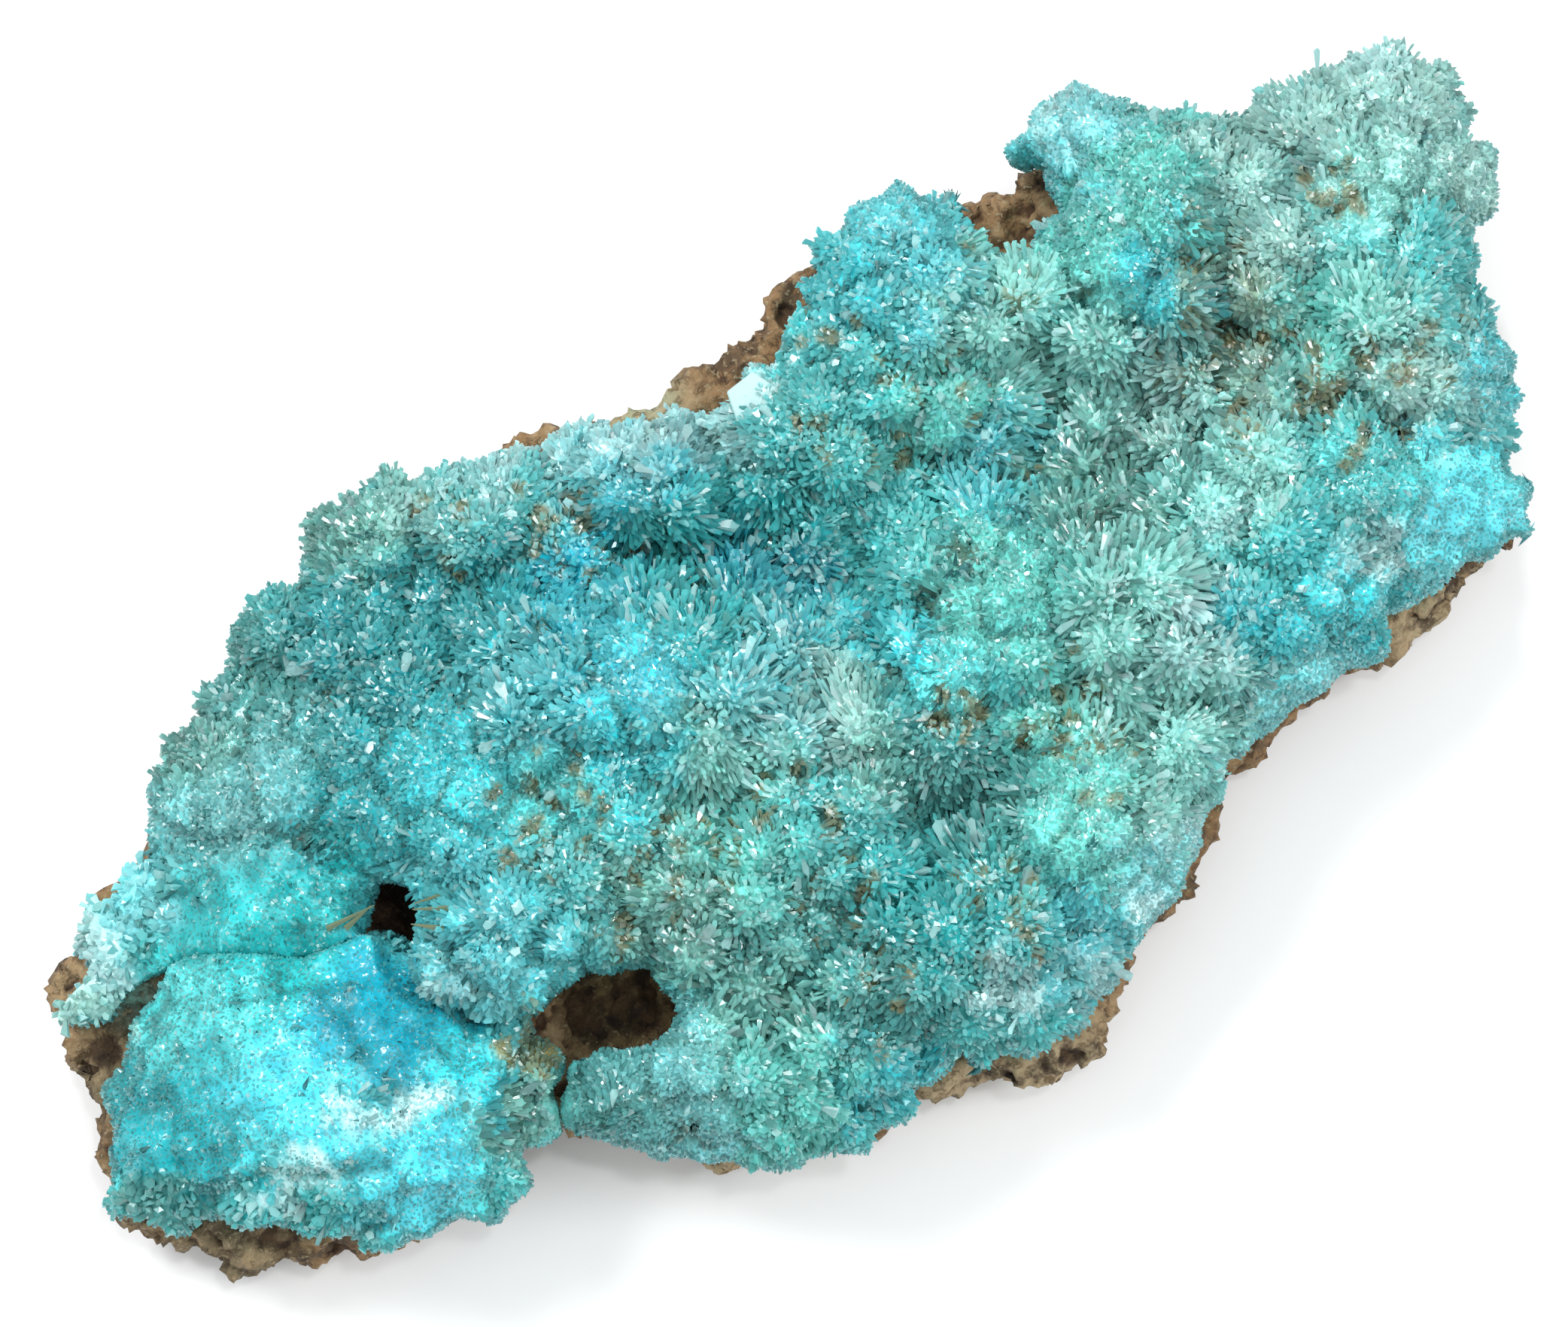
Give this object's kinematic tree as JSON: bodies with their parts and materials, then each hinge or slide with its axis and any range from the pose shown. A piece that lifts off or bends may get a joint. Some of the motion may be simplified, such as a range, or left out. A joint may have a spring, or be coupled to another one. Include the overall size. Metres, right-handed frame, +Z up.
{
  "type": "blue aragonite specimen",
  "caption": "Hand specimen of blue aragonite: a crust of radiating crystal lumps on brown matrix rock, lying on its broken back.",
  "frame": {"origin": "middle of the specimen's bounds in plan, on the surface that it lies on", "axes": "+X along its length towards the two-humped end, +Z up through the crystals"},
  "size_m": [0.0948, 0.0488, 0.0199],
  "materials": {
    "blue_crystal": "translucent needle crystals, glassy",
    "bright_crystal": "translucent sugary crystals, glassy",
    "brown_rock": "rough, dull, broken"
  },
  "bodies": {
    "root": {"crystal_crust": "blue_crystal", "crystal_lobe": "bright_crystal", "matrix_rock": "brown_rock"}
  },
  "joints": []
}
